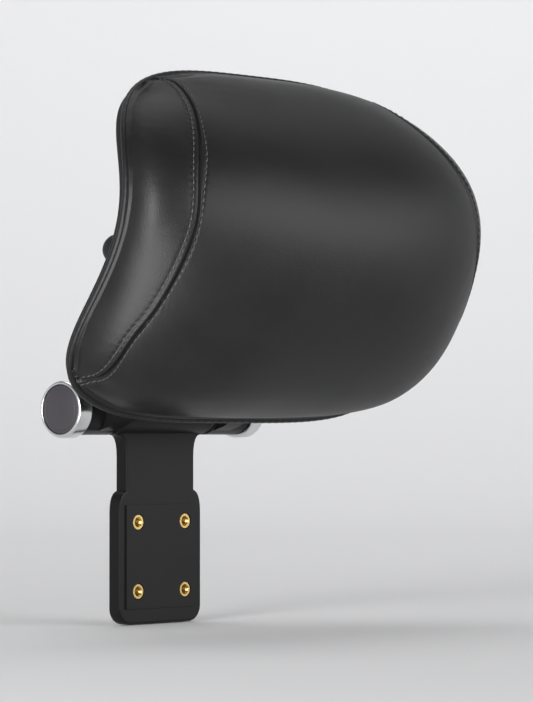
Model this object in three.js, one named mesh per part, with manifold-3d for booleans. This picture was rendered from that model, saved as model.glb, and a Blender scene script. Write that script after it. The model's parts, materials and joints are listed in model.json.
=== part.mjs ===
// Chair headrest attachment: an upholstered head cushion on a friction tilt hinge, and the bracket that is
// screwed to the backrest. Millimetres, +X to the sitter's left, +Y to the back, +Z up. The origin is the
// middle of the bracket's mounting face; nearly everything is drawn around the hinge axis, in hingeFrame.
import * as THREE from "three";
import { ParametricGeometry } from "three/addons/geometries/ParametricGeometry.js";
import { mergeVertices } from "three/addons/utils/BufferGeometryUtils.js";
import Module from "manifold-3d";

const wasm = await Module();
wasm.setup();

// ---- Driving dimensions -------------------------------------------------------------------------------

const GAP = 0.3; // room between touching pieces
const ROUND = 28; // sides of a small round piece
const BARREL_ROUND = 32; // sides of the hinge barrel

const AXIS_Y = 5.5; // hinge axis behind the mounting face
const AXIS_Z = 85; // hinge axis above the middle of the mounting face

const BARREL_R = 14.5;
const SHAFT_R = 5;
const BORE_R = SHAFT_R + GAP;
const SIDES = [
  ["left", 1],
  ["right", -1],
];

// Places along the hinge axis, measured out from the middle.
const HUB_END = 38;
const WASHER = [HUB_END + GAP, HUB_END + 1.7];
const KNUCKLE = [40, 69.2];
const RING = [69.5, 79.5];
const THRUST_WASHER = [RING[0], 70.7];
const DISC_SPRING = [71, 73];
const NUT = [73.3, 77.6];
const END_DISC = [78.2, 80];

// Cushion, around the hinge axis: an outline seen from the front, a hollow back and a crowned front.
const CUSHION = {
  halfWidth: 148,
  middleZ: 75,
  upper: 116,
  lower: 82,
  upperCorner: 3.3,
  lowerCorner: 4,
  backRound: 5,
  frontRound: 2.35,
  backDepth: 7,
};
const BACK = { y: -59, hollow: 51, fromZ: 10, toZ: 215, power: 1.5 };
const FRONT = { upper: 44, lower: 80, upperZ: 125 };
const COVER = 1.2; // leather thickness
const FOAM_INSET = COVER + GAP;

// Angles through the edge of the cushion: 0 at its widest, minus to the back, plus to the front.
const SQUARE = Math.PI / 2;
const THROUGH = [-SQUARE, -1.2, -0.86, -0.6, -0.35, 0, 0.25, 0.5, 0.75, 1, 1.25, SQUARE];
const PIPING_AT = -0.605;
const STRIP_AT = [-0.67, -0.8];
const PIPING_R = 2;
const PIPING_PROUD = 1.2;
const COVER_EDGE_Y = 4.4; // the covers' back edge, ahead of the back face

// Seam between the face panel and a gusset, seen from the front: [distance out, height].
const SEAM = [
  [78, 205],
  [96, 171],
  [118, 132],
  [125, 95],
  [133, 55],
  [137, 30],
  [129, -12],
];

const AROUND = 40; // steps round the cushion's outline

const BOARD = { inset: 14, behind: 3.4, thick: 9 };
const FULL_BOARD = BOARD.behind + BOARD.thick;
const SHELL = { inset: 4.5, lift: 0.9, depth: 7.5, wall: 3, round: 6, lip: 5, lipFrom: 100, lipTo: 165 };

// The lower back of the cushion is almost flat. Its screws and the lugs' plates are set square to it here.
const SEAT_Z = 46;
const LUG = { plate: [36, 84], arm: [42, 56], thick: 4, down: 36, up: 34, off: 9 };
const SCREW = { r: 2.2, headR: 4.6, head: 2.6, into: 7, x: 71, along: [-21, 21] };
const BOSS = { r: 7, sideR: 3.6, from: -2.3, to: 5.4 };

const CAP = { x: 122, z: 78, r: 9, height: 14.5, wall: 1.6, lift: 1.3, steps: 5, power: 3 };
const CAP_SCREW = { r: 1.8, headR: 4, head: 2.2, into: 6 };

const BLADE = { halfWidth: 35, thick: 9, top: -48, bottom: -124, corner: 8, bevel: 1.5 };
const NECK = { halfWidth: 29, flareFrom: -27, flareTo: 37, flareEdge: 2.4, shoulder: 12 };
const PAD = { half: 30, proud: 1 };
const INSERT = { x: 20, z: 20, r: 4.5, bore: 2.5, room: 4.8 };

// Small pieces on the hinge axis: radii, and chamfers where they have one.
const BUSH = { bore: SHAFT_R + 0.15, r: SHAFT_R + 1.7, room: SHAFT_R + 2 };
const WASHER_R = { friction: BARREL_R - 1, thrust: 11.2, spring: 10.4 };
const SPRING_THICK = 1.2;
const NUT_R = 9.8; // over the corners
const COLLAR = { r: 16.2, bore: 11.6, lip: 14.2, edge: 1 };
const DISC = { r: 13.9, flatR: 7, rim: 0.6 };

// ---- Materials ----------------------------------------------------------------------------------------

const material = (color, roughness, metalness = 0) =>
  new THREE.MeshStandardMaterial({ color, roughness, metalness });
const LEATHER = material(0x1d1d1e, 0.45);
const BLACK_PLASTIC = material(0x151516, 0.5);
const SILVER = material(0xc9cacc, 0.25, 0.9);
const DISC_GREY = material(0x4b4850, 0.5);
const STEEL = material(0x8b8d90, 0.35, 0.9);
const BRASS = material(0xb08d4a, 0.35, 0.9);
const NYLON = material(0xe8e6df, 0.5);
const FIBRE = material(0x3a3330, 0.8);
const PLYWOOD = material(0xc8a878, 0.7);
const FOAM = material(0xd9d2b8, 0.95);

// ---- Mesh helpers -------------------------------------------------------------------------------------

/** Closed surface with shared vertices, no collapsed triangles, and faces pointing out. */
function closed(source) {
  const bare = source.clone();
  bare.deleteAttribute("normal");
  bare.deleteAttribute("uv");
  const merged = mergeVertices(bare, 1e-4);
  const corner = new THREE.Vector3();
  const points = [];
  for (let i = 0; i < merged.attributes.position.count; i += 1) {
    points.push(corner.fromBufferAttribute(merged.attributes.position, i).clone());
  }
  const faces = [];
  let volume = 0;
  for (let i = 0; i < merged.index.count; i += 3) {
    const face = [0, 1, 2].map((step) => merged.index.getX(i + step));
    if (new Set(face).size === 3) {
      const [a, b, c] = face.map((index) => points[index]);
      volume += a.dot(b.clone().cross(c));
      faces.push(face);
    }
  }
  if (volume < 0) {
    faces.forEach((face) => face.reverse());
  }
  merged.setIndex(faces.flat());
  return merged;
}

function toSolid(source) {
  const geometry = closed(source);
  return new wasm.Manifold(
    new wasm.Mesh({
      numProp: 3,
      vertProperties: new Float32Array(geometry.attributes.position.array),
      triVerts: new Uint32Array(geometry.index.array),
    }),
  );
}

function fromSolid(solid) {
  const mesh = solid.getMesh();
  const geometry = new THREE.BufferGeometry();
  geometry.setAttribute("position", new THREE.BufferAttribute(mesh.vertProperties, 3));
  geometry.setIndex(new THREE.BufferAttribute(mesh.triVerts, 1));
  return geometry;
}

/** Joins the first list of geometries and cuts the second list out of them. */
function combine(joined, cut = []) {
  const whole = joined.map(toSolid).reduce((sum, next) => sum.add(next));
  return fromSolid(cut.map(toSolid).reduce((sum, next) => sum.subtract(next), whole));
}

/** The largest body of a geometry, without the crumbs that a cut along facets leaves. */
function largest(geometry) {
  const bodies = toSolid(geometry).decompose();
  return fromSolid(bodies.reduce((best, next) => (next.volume() > best.volume() ? next : best)));
}

/** Round piece on the hinge axis: profile points are [radius, place along the axis]. */
function turnedOnX(profile, sides = ROUND) {
  const points = profile.map(([radius, along]) => new THREE.Vector2(radius, along));
  return closed(new THREE.LatheGeometry(points, sides)).rotateZ(-Math.PI / 2);
}

/** Closed ring profile between two radii, with its outer corners cut by a chamfer. */
function ringProfile(inner, outer, [from, to], chamfer = 0) {
  const edge = [
    [inner, from],
    [outer - chamfer, from],
    [outer, from + chamfer],
    [outer, to - chamfer],
    [outer - chamfer, to],
    [inner, to],
    [inner, from],
  ];
  return chamfer > 0 ? edge : [edge[0], [outer, from], [outer, to], edge[5], edge[6]];
}

/** Solid round profile that starts and ends on the axis. */
function rodProfile(radius, [from, to], chamfer) {
  return [
    [0, from],
    [radius - chamfer, from],
    [radius, from + chamfer],
    [radius, to - chamfer],
    [radius - chamfer, to],
    [0, to],
  ];
}

/** What two geometries share. */
const common = (one, other) => fromSolid(toSolid(one).intersect(toSolid(other)));

const group = new THREE.Group();
const hingeFrame = new THREE.Group();
hingeFrame.position.set(0, AXIS_Y, AXIS_Z);
group.add(hingeFrame);

function addPiece(name, geometry, surface) {
  const mesh = new THREE.Mesh(geometry, surface);
  mesh.name = name;
  hingeFrame.add(mesh);
  return mesh;
}

/** The same piece at both ends of the hinge: drawn for +X and mirrored for -X. */
function addPair(name, geometry, surface) {
  for (const [side, sign] of SIDES) {
    addPiece(`${name}_${side}`, closed(geometry.clone().scale(sign, 1, 1)), surface);
  }
}

// ---- The cushion's form -------------------------------------------------------------------------------

/** Back face of the upholstery at height z. */
function backFace(z) {
  const share = THREE.MathUtils.clamp((z - BACK.fromZ) / (BACK.toZ - BACK.fromZ), 0, 1);
  return BACK.y - BACK.hollow * Math.sin(Math.PI * share) ** BACK.power;
}

/** Crown of the front face over the cushion's widest line at height z. */
function frontCrown(z) {
  const share = THREE.MathUtils.clamp(z / FRONT.upperZ, 0, 1);
  return FRONT.upper + ((FRONT.lower - FRONT.upper) * (1 + Math.cos(Math.PI * share))) / 2;
}

/** Radius of a superellipse with the given half axes, in the direction of an angle. */
function superRadius(angle, a, b, power) {
  const sum = Math.abs(Math.cos(angle) / a) ** power + Math.abs(Math.sin(angle) / b) ** power;
  return sum ** (-1 / power);
}

/** Point of the outline as seen from the front, pulled in by inset and scaled by reach. */
function outlinePoint(around, inset, reach) {
  const up = Math.sin(around) >= 0;
  const height = (up ? CUSHION.upper : CUSHION.lower) - inset;
  const corner = up ? CUSHION.upperCorner : CUSHION.lowerCorner;
  const radius = reach * superRadius(around, CUSHION.halfWidth - inset, height, corner);
  return { x: radius * Math.cos(around), z: CUSHION.middleZ + radius * Math.sin(around) };
}

/** Point on the cushion: around its outline, and through its edge from back (-PI/2) to front (PI/2). */
function cushionPoint(around, through, inset, target) {
  const round = through > 0 ? CUSHION.frontRound : CUSHION.backRound;
  const radius = superRadius(through, 1, 1, round);
  const { x, z } = outlinePoint(around, inset, radius * Math.cos(through));
  const depth = (through > 0 ? frontCrown(z) : CUSHION.backDepth) - inset;
  const y = backFace(z) - CUSHION.backDepth - depth * radius * Math.sin(through);
  return target.set(x, y, z);
}

const aroundAt = (u) => u * 2 * Math.PI;

/** Closed skin: outer surface from its pole to its rim, then the inner one back. Both take (u, share). */
function skin(outer, inner, steps, slices = AROUND) {
  const stacks = 2 * steps + 1;
  const at = (u, v, target) => {
    const step = Math.round(v * stacks);
    return step <= steps ? outer(u, step / steps, target) : inner(u, (stacks - step) / steps, target);
  };
  return closed(new ParametricGeometry(at, slices, stacks));
}

// ---- Cushion pieces -----------------------------------------------------------------------------------

/** The whole cushion as one closed body, pulled in by inset. */
function cushionBody(inset) {
  const steps = THROUGH.length - 1;
  const at = (u, v, target) =>
    cushionPoint(aroundAt(u), THROUGH[Math.round(v * steps)], inset, target);
  return new ParametricGeometry(at, AROUND, steps);
}

/** Everything outside one seam, moved out by clear, from front to back. */
function beyondSeam(sign, clear) {
  const far = 200;
  const seam = new THREE.SplineCurve(SEAM.map(([x, z]) => new THREE.Vector2(x + clear, z)));
  const shape = new THREE.Shape([...seam.getPoints(24), new THREE.Vector2(far, SEAM.at(-1)[1])]);
  shape.lineTo(far, SEAM[0][1]);
  const prism = new THREE.ExtrudeGeometry(shape, { depth: far, bevelEnabled: false });
  return closed(prism.rotateX(Math.PI / 2).scale(sign, 1, 1));
}

/** Face panel and gussets: one leather skin over the foam, parted along the seams. */
function covers() {
  const behind = boardGeometry(-BOARD.inset - 10, BOARD.behind + 20, COVER_EDGE_Y - FULL_BOARD, 10);
  const whole = combine([cushionBody(0)], [cushionBody(COVER), behind]);
  const [left, right] = SIDES.map(([, sign]) => beyondSeam(sign, GAP / 2));
  return {
    left: largest(common(whole, left)),
    right: largest(common(whole, right)),
    face: largest(combine([whole], SIDES.map(([, sign]) => beyondSeam(sign, -GAP / 2)))),
  };
}

const foamCore = () =>
  combine([cushionBody(FOAM_INSET)], [boardGeometry(-GAP, BOARD.behind + CUSHION.backDepth, GAP)]);

/** Bent board behind the foam; with the three allowances it cuts the foam's pocket and the covers' edge. */
function boardGeometry(inset = 0, behind = 0, front = 0, steps = 4) {
  const layer = (offset) => (u, share, target) => {
    const { x, z } = outlinePoint(aroundAt(u), BOARD.inset + inset, share);
    return target.set(x, backFace(z) + offset, z);
  };
  return skin(layer(behind - BOARD.behind), layer(-FULL_BOARD - front), steps);
}

/** Welt round the back edge of the cushion: a loop with a round section. */
function piping() {
  const here = new THREE.Vector3();
  const ahead = new THREE.Vector3();
  const middle = new THREE.Vector3();
  const at = (u, v, target) => {
    cushionPoint(aroundAt(u), PIPING_AT, -PIPING_PROUD, here);
    cushionPoint(aroundAt(u + 1 / AROUND), PIPING_AT, -PIPING_PROUD, ahead);
    cushionPoint(aroundAt(u - 1 / AROUND), PIPING_AT, -PIPING_PROUD, middle);
    const along = ahead.sub(middle).normalize();
    const outward = new THREE.Vector3(0, 1, 0).addScaledVector(along, -along.y).normalize();
    const sideways = new THREE.Vector3().crossVectors(along, outward);
    const turn = 2 * Math.PI * v;
    return target
      .copy(here)
      .addScaledVector(outward, PIPING_R * Math.cos(turn))
      .addScaledVector(sideways, PIPING_R * Math.sin(turn));
  };
  return closed(new ParametricGeometry(at, AROUND, 6));
}

/** Flat strip sewn behind the piping and stapled to the board. */
function stapleStrip() {
  const at = (u, v, target) => {
    const step = Math.round(v * 4) % 4;
    const through = step === 0 || step === 3 ? STRIP_AT[0] : STRIP_AT[1];
    return cushionPoint(aroundAt(u), through, step < 2 ? -2 * GAP : COVER - 2 * GAP, target);
  };
  return closed(new ParametricGeometry(at, AROUND, 4));
}

/** Lean of the back face at height z: how far its normal turns up from straight back. */
const leanAt = (z) => Math.atan((backFace(z - 1) - backFace(z + 1)) / 2);

/** Moves a geometry drawn along +Z so that +Z is square to the back face at height z. */
function onSeat(geometry, x, z, along = 0, off = 0) {
  return geometry
    .clone()
    .translate(0, along, off)
    .rotateX(leanAt(z) - Math.PI / 2)
    .translate(x, backFace(z), z);
}

/** Place in (y, z) that is up the lower back from its seat, and off its surface. */
function lowerBackAt(up, off) {
  const lean = leanAt(SEAT_Z);
  const y = backFace(SEAT_Z) + off * Math.cos(lean) - up * Math.sin(lean);
  return [y, SEAT_Z + off * Math.sin(lean) + up * Math.cos(lean)];
}

const onLowerBack = (geometry, x, along, off = 0) => onSeat(geometry, x, SEAT_Z, along, off);

/** Rod along +Z between two heights. */
function rod(radius, from, to, sides = 12) {
  return new THREE.CylinderGeometry(radius, radius, to - from, sides)
    .rotateX(Math.PI / 2)
    .translate(0, 0, (from + to) / 2);
}

const screwSeats = SIDES.flatMap(([, sign]) => SCREW.along.map((along) => [sign * SCREW.x, along]));
const capSeat = (geometry, sign, off = 0) => onSeat(geometry, sign * CAP.x, CAP.z, 0, off);

/** Holes for every screw that passes a layer of the headrest's back. */
function screwHoles(from, to) {
  const lower = screwSeats.map(([x, along]) => onLowerBack(rod(SCREW.r + GAP, from, to), x, along));
  const side = SIDES.map(([, sign]) => capSeat(rod(CAP_SCREW.r + GAP, from, to), sign));
  return [...lower, ...side];
}

/** How much deeper the shell is towards its top, where it stands out behind the cushion. */
function shellLip(z) {
  const share = Math.min(Math.max((z - SHELL.lipFrom) / (SHELL.lipTo - SHELL.lipFrom), 0), 1);
  return SHELL.lip * share * share * (3 - 2 * share);
}

function backShell() {
  const layer = (inset, depth) => (u, share, target) => {
    const { x, z } = outlinePoint(aroundAt(u), SHELL.inset + inset, Math.sin((share * Math.PI) / 2));
    const rise = (1 - Math.sin((share * Math.PI) / 2) ** SHELL.round) ** (1 / SHELL.round);
    return target.set(x, backFace(z) + SHELL.lift + (depth + shellLip(z)) * rise, z);
  };
  const tray = skin(layer(0, SHELL.depth), layer(SHELL.wall, SHELL.depth - SHELL.wall), 6);
  const bosses = [
    ...screwSeats.map(([x, along]) => onLowerBack(rod(BOSS.r, BOSS.from, BOSS.to), x, along)),
    ...SIDES.map(([, sign]) => capSeat(rod(BOSS.sideR, BOSS.from, BOSS.to), sign)),
  ];
  return combine([tray, ...bosses], screwHoles(-9, 12));
}

function screwGeometry({ r, headR, head, into }, under) {
  const profile = [
    [0, -into],
    [r, -into + 1],
    [r, under],
    [headR, under],
    [headR, under + head * 0.6],
    [headR * 0.6, under + head],
    [0, under + head],
  ];
  const points = profile.map(([radius, along]) => new THREE.Vector2(radius, along));
  return closed(new THREE.LatheGeometry(points, 12)).rotateX(Math.PI / 2);
}

addPiece("foam_core", foamCore(), FOAM);
addPiece("inner_board", combine([boardGeometry()], screwHoles(-SCREW.into - 2 * GAP, 12)), PLYWOOD);
const cover = covers();
addPiece("cover_face_panel", cover.face, LEATHER);
addPiece("cover_gusset_left", cover.left, LEATHER);
addPiece("cover_gusset_right", cover.right, LEATHER);
addPiece("rear_piping", piping(), LEATHER);
addPiece("staple_strip", stapleStrip(), LEATHER);
addPiece("back_shell", backShell(), BLACK_PLASTIC);

// ---- Hinge lugs, screws and caps ----------------------------------------------------------------------

/** Lug on one side: outer knuckle, arm, and the plate that is screwed to the headrest's back. */
function hingeLug() {
  const knuckle = turnedOnX(ringProfile(0, BARREL_R, KNUCKLE, 0.8).slice(0, -1), BARREL_ROUND);
  const armShape = new THREE.Shape();
  const middle = LUG.off + LUG.thick / 2;
  armShape.moveTo(-2, -13);
  armShape.quadraticCurveTo(-30, -11, ...lowerBackAt(-LUG.down + 4, middle));
  armShape.lineTo(...lowerBackAt(LUG.up - 8, middle));
  armShape.quadraticCurveTo(-44, 17, -2, 13);
  const arm = new THREE.ExtrudeGeometry(armShape, {
    depth: LUG.arm[1] - LUG.arm[0],
    bevelEnabled: false,
    curveSegments: 8,
  });
  // Drawn in (y, z) and turned so that its depth runs along +X.
  arm.applyMatrix4(new THREE.Matrix4().set(0, 0, 1, LUG.arm[0], 1, 0, 0, 0, 0, 1, 0, 0, 0, 0, 0, 1));
  const [from, to] = LUG.plate;
  const plate = onLowerBack(
    new THREE.BoxGeometry(to - from, LUG.down + LUG.up, LUG.thick),
    (from + to) / 2,
    0,
    LUG.off + LUG.thick / 2,
  );
  const holes = SCREW.along.map((along) => onLowerBack(rod(SCREW.r + GAP, 0, 20), SCREW.x, along));
  const bore = turnedOnX(rodProfile(BUSH.room, [KNUCKLE[0] - 1, KNUCKLE[1] + 1], 0.1));
  return combine([knuckle, arm, plate], [bore, ...holes]);
}

addPair("hinge_lug", hingeLug(), BLACK_PLASTIC);
addPair("hinge_bush", turnedOnX(ringProfile(BUSH.bore, BUSH.r, KNUCKLE)), NYLON);

screwSeats.forEach(([x, along], index) => {
  const screw = screwGeometry(SCREW, LUG.off + LUG.thick + GAP);
  addPiece(`lug_screw_${index + 1}`, onLowerBack(screw, x, along), STEEL);
});

/** Section of a cap from its rim to its top: a superellipse, so that its shoulder is full. */
function capCurve(inset) {
  return Array.from({ length: CAP.steps + 1 }, (_, step) => {
    const angle = (step * Math.PI) / 2 / CAP.steps;
    const out = Math.max(Math.cos(angle), 0) ** (2 / CAP.power);
    const up = Math.sin(angle) ** (2 / CAP.power);
    return [step === CAP.steps ? 0 : (CAP.r - inset) * out, (CAP.height - inset) * up];
  });
}

for (const [side, sign] of SIDES) {
  const surface = SHELL.depth + SHELL.lift;
  const screw = screwGeometry(CAP_SCREW, surface + GAP);
  addPiece(`side_screw_${side}`, capSeat(screw, sign), STEEL);
  const outer = capCurve(0);
  const profile = [...outer, ...capCurve(CAP.wall).reverse(), outer[0]];
  const points = profile.map(([radius, along]) => new THREE.Vector2(Math.max(radius, 0), along));
  const dome = closed(new THREE.LatheGeometry(points, 20)).rotateX(Math.PI / 2);
  addPiece(`screw_cap_${side}`, capSeat(dome, sign, surface + CAP.lift), BLACK_PLASTIC);
}

// ---- Hinge pieces that stay with the bracket ----------------------------------------------------------

addPiece("hinge_shaft", turnedOnX(rodProfile(SHAFT_R, [-NUT[1], NUT[1]], 0.8)), STEEL);
addPair("friction_washer", turnedOnX(ringProfile(BORE_R, WASHER_R.friction, WASHER)), FIBRE);
addPair("thrust_washer", turnedOnX(ringProfile(BORE_R, WASHER_R.thrust, THRUST_WASHER)), STEEL);

// A cone whose outer rim rests on the washer and whose bore stands out to the nut.
const spring = [
  [BORE_R, DISC_SPRING[1] - SPRING_THICK],
  [WASHER_R.spring, DISC_SPRING[0]],
  [WASHER_R.spring, DISC_SPRING[0] + SPRING_THICK],
  [BORE_R, DISC_SPRING[1]],
  [BORE_R, DISC_SPRING[1] - SPRING_THICK],
];
addPair("disc_spring", turnedOnX(spring), STEEL);

const nutBlank = new THREE.CylinderGeometry(NUT_R, NUT_R, NUT[1] - NUT[0], 6)
  .rotateZ(-Math.PI / 2)
  .translate((NUT[0] + NUT[1]) / 2, 0, 0);
const nutBore = turnedOnX(rodProfile(BORE_R, [NUT[0] - 1, NUT[1] + 1], 0.1));
addPair("shaft_nut", combine([nutBlank], [nutBore]), STEEL);

// The collar's outer end is rounded over, and a step inside it seats the disc.
const collar = [
  [COLLAR.bore, RING[0]],
  [COLLAR.r - COLLAR.edge, RING[0]],
  [COLLAR.r, RING[0] + COLLAR.edge],
  [COLLAR.r, RING[1] - COLLAR.edge],
  [COLLAR.r - COLLAR.edge / 3, RING[1] - COLLAR.edge / 3],
  [COLLAR.r - COLLAR.edge, RING[1]],
  [COLLAR.lip, RING[1]],
  [COLLAR.lip, END_DISC[0] - GAP],
  [COLLAR.bore, END_DISC[0] - GAP],
  [COLLAR.bore, RING[0]],
];
addPair("end_ring", turnedOnX(collar, BARREL_ROUND), SILVER);

const disc = [
  [0, END_DISC[0]],
  [DISC.r, END_DISC[0]],
  [DISC.r, RING[1] - DISC.rim],
  [DISC.r - DISC.rim, RING[1]],
  [DISC.flatR, END_DISC[1]],
  [0, END_DISC[1]],
];
addPair("end_disc", turnedOnX(disc, BARREL_ROUND), DISC_GREY);

// ---- Neck bracket -------------------------------------------------------------------------------------

function neckBracket() {
  const { halfWidth, top, bottom, corner, bevel, thick } = BLADE;
  const wide = halfWidth - bevel;
  const narrow = NECK.halfWidth - bevel;
  const flare = NECK.flareTo - bevel;
  const under = -BARREL_R + bevel;
  const floor = bottom + bevel;
  const quarter = Math.PI / 2;
  const outline = new THREE.Shape();
  outline.moveTo(-wide + corner, floor);
  outline.lineTo(wide - corner, floor);
  outline.absarc(wide - corner, floor + corner, corner, -quarter, 0);
  outline.lineTo(wide, top - NECK.shoulder);
  outline.quadraticCurveTo(wide, top, narrow, top);
  outline.lineTo(narrow, NECK.flareFrom);
  outline.quadraticCurveTo(narrow, under, flare, under);
  outline.lineTo(flare, under + NECK.flareEdge);
  outline.lineTo(-flare, under + NECK.flareEdge);
  outline.lineTo(-flare, under);
  outline.quadraticCurveTo(-narrow, under, -narrow, NECK.flareFrom);
  outline.lineTo(-narrow, top);
  outline.quadraticCurveTo(-wide, top, -wide, top - NECK.shoulder);
  outline.lineTo(-wide, floor + corner);
  outline.absarc(-wide + corner, floor + corner, corner, -Math.PI, -quarter);
  const blade = new THREE.ExtrudeGeometry(outline, {
    depth: thick - 2 * bevel,
    bevelThickness: bevel,
    bevelSize: bevel,
    bevelSegments: 2,
    curveSegments: 6,
  });
  // Drawn in (x, z), with its depth centred on the hinge axis and running towards the front.
  blade.translate(0, 0, -(thick - 2 * bevel) / 2).rotateX(Math.PI / 2);
  const hub = turnedOnX(rodProfile(BARREL_R, [-HUB_END, HUB_END], 0.8), BARREL_ROUND);
  const padY = -thick / 2 - PAD.proud;
  const pad = new THREE.BoxGeometry(2 * PAD.half, PAD.proud + 2, 2 * PAD.half);
  pad.translate(0, padY + (PAD.proud + 2) / 2, -AXIS_Z);
  const bore = turnedOnX(rodProfile(BORE_R, [-HUB_END - 1, HUB_END + 1], 0.1));
  const socket = rod(INSERT.room, -thick, thick, 16).rotateX(Math.PI / 2);
  const sockets = insertPlaces.map(([x, z]) => socket.clone().translate(x, 0, z));
  return combine([blade, hub, pad], [bore, ...sockets]);
}

const insertPlaces = [-1, 1].flatMap((row) =>
  [-1, 1].map((column) => [column * INSERT.x, -AXIS_Z + row * INSERT.z]),
);
addPiece("neck_bracket", neckBracket(), BLACK_PLASTIC);

insertPlaces.forEach(([x, z], index) => {
  const from = -BLADE.thick / 2 + GAP;
  const to = BLADE.thick / 2 + PAD.proud - GAP;
  const profile = ringProfile(INSERT.bore, INSERT.r, [from, to], 0.4);
  const points = profile.map(([radius, along]) => new THREE.Vector2(radius, along));
  const ring = closed(new THREE.LatheGeometry(points, 16)).rotateX(Math.PI);
  addPiece(`mount_insert_${index + 1}`, ring.translate(x, 0, z), BRASS);
});

export default group;
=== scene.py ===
"""Looks of the chair headrest attachment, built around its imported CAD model.

The cushion is leather sewn over foam: a face panel and two side gussets, parted by double-stitched seams
and edged with a welt. Cloth simulation puffs them; seams, stitches and puckers are modelled on top of it.
The shell, hinge and bracket are moulded and turned pieces. Forms are worked out in millimetres around the
hinge axis, as the CAD model's are, and turned into metres of the row frame by to_row().
"""

import json
import math

import bmesh
import bpy
import numpy as np
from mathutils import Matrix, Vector
from mathutils.bvhtree import BVHTree

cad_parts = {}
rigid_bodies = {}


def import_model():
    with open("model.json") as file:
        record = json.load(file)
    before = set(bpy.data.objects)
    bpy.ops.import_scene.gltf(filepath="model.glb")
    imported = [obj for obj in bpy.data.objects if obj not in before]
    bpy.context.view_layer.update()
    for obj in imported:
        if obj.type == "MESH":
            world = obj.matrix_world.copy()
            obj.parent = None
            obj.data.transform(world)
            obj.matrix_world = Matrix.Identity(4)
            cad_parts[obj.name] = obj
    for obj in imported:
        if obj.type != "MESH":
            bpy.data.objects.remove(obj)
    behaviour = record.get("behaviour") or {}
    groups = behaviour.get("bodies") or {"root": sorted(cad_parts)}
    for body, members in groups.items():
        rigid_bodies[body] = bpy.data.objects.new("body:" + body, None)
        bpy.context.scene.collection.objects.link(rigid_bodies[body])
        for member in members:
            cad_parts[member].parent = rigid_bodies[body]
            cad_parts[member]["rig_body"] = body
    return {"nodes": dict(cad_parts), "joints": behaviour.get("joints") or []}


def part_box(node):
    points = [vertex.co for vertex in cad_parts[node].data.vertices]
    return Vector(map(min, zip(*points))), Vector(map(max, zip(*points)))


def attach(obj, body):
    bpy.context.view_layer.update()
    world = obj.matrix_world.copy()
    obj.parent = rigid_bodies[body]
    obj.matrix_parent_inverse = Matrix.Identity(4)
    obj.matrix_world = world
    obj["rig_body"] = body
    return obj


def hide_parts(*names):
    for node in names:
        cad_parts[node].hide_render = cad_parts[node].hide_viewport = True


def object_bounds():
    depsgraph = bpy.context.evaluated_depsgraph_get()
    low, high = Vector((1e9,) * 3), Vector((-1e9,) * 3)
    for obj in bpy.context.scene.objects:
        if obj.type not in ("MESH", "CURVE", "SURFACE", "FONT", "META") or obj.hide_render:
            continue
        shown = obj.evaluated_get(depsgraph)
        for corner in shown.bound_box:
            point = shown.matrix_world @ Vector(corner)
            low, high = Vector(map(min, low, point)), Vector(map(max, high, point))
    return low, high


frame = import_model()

CAD_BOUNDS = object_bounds()
MM = 0.001
SQUARE = math.pi / 2
HINGE = np.array(frame["joints"][0]["pos_m"]) / MM
SIDES = (("left", 1), ("right", -1))
HEADREST = "headrest"
NECK = "neck"

# ---- The cushion's form, in millimetres around the hinge axis ------------------------------------------

HALF_WIDTH = 148
MIDDLE_Z = 75
UPPER, LOWER = 116, 82
UPPER_CORNER, LOWER_CORNER = 3.3, 4
BACK_ROUND, FRONT_ROUND = 5, 2.35
BACK_DEPTH = 7
BACK_Y, BACK_HOLLOW, BACK_FROM, BACK_TO, BACK_POWER = -59, 51, 10, 215, 1.5
CROWN_UPPER, CROWN_LOWER, CROWN_TOP_Z = 44, 80, 125

PIPING_AT = -0.605  # angle through the cushion's edge, behind its widest line
PIPING_R = 2.0
PIPING_PROUD = 1.2
REAR = 1 - (PIPING_AT - 0.02) / SQUARE  # how far out the covers reach: 0 front's middle, 1 widest line
LEATHER = 1.2
TINY = 1e-9  # keeps a division by a length safe
FROM_INSIDE = np.array([0.0, BACK_Y - 35.0, 80.0])  # a point in the middle of the foam

# Seam between the face panel and the left gusset, seen from the front: (distance out, height).
SEAM = ((78, 205), (96, 171), (118, 132), (125, 95), (133, 55), (137, 30), (129, -12))


def super_radius(angle, a, b, power):
    """Radius of a superellipse with the half axes a and b, in the direction of an angle."""
    return (np.abs(np.cos(angle) / a) ** power + np.abs(np.sin(angle) / b) ** power) ** (-1 / power)


def back_face(z):
    share = np.clip((z - BACK_FROM) / (BACK_TO - BACK_FROM), 0, 1)
    return BACK_Y - BACK_HOLLOW * np.sin(np.pi * share) ** BACK_POWER


def front_crown(z):
    share = np.clip(z / CROWN_TOP_Z, 0, 1)
    return CROWN_UPPER + (CROWN_LOWER - CROWN_UPPER) * (1 + np.cos(np.pi * share)) / 2


def outline_radius(around, inset=0):
    up = np.sin(around) >= 0
    upper = super_radius(around, HALF_WIDTH - inset, UPPER - inset, UPPER_CORNER)
    lower = super_radius(around, HALF_WIDTH - inset, LOWER - inset, LOWER_CORNER)
    return np.where(up, upper, lower)


def outline_point(around, inset, reach):
    radius = reach * outline_radius(around, inset)
    return radius * np.cos(around), MIDDLE_Z + radius * np.sin(around)


def cushion(around, through, inset=0):
    """Points of the cushion's surface: around its outline, through its edge from back to front."""
    front = through > 0
    radius = np.where(
        front, super_radius(through, 1, 1, FRONT_ROUND), super_radius(through, 1, 1, BACK_ROUND)
    )
    x, z = outline_point(around, inset, radius * np.cos(through))
    depth = np.where(front, front_crown(z), BACK_DEPTH) - inset
    y = back_face(z) - BACK_DEPTH - depth * radius * np.sin(through)
    return np.stack([x, y, z], axis=-1)


def lean_at(z):
    return math.atan((back_face(z - 1) - back_face(z + 1)) / 2)


def to_row(points):
    return (np.asarray(points, float) + HINGE) * MM


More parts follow.
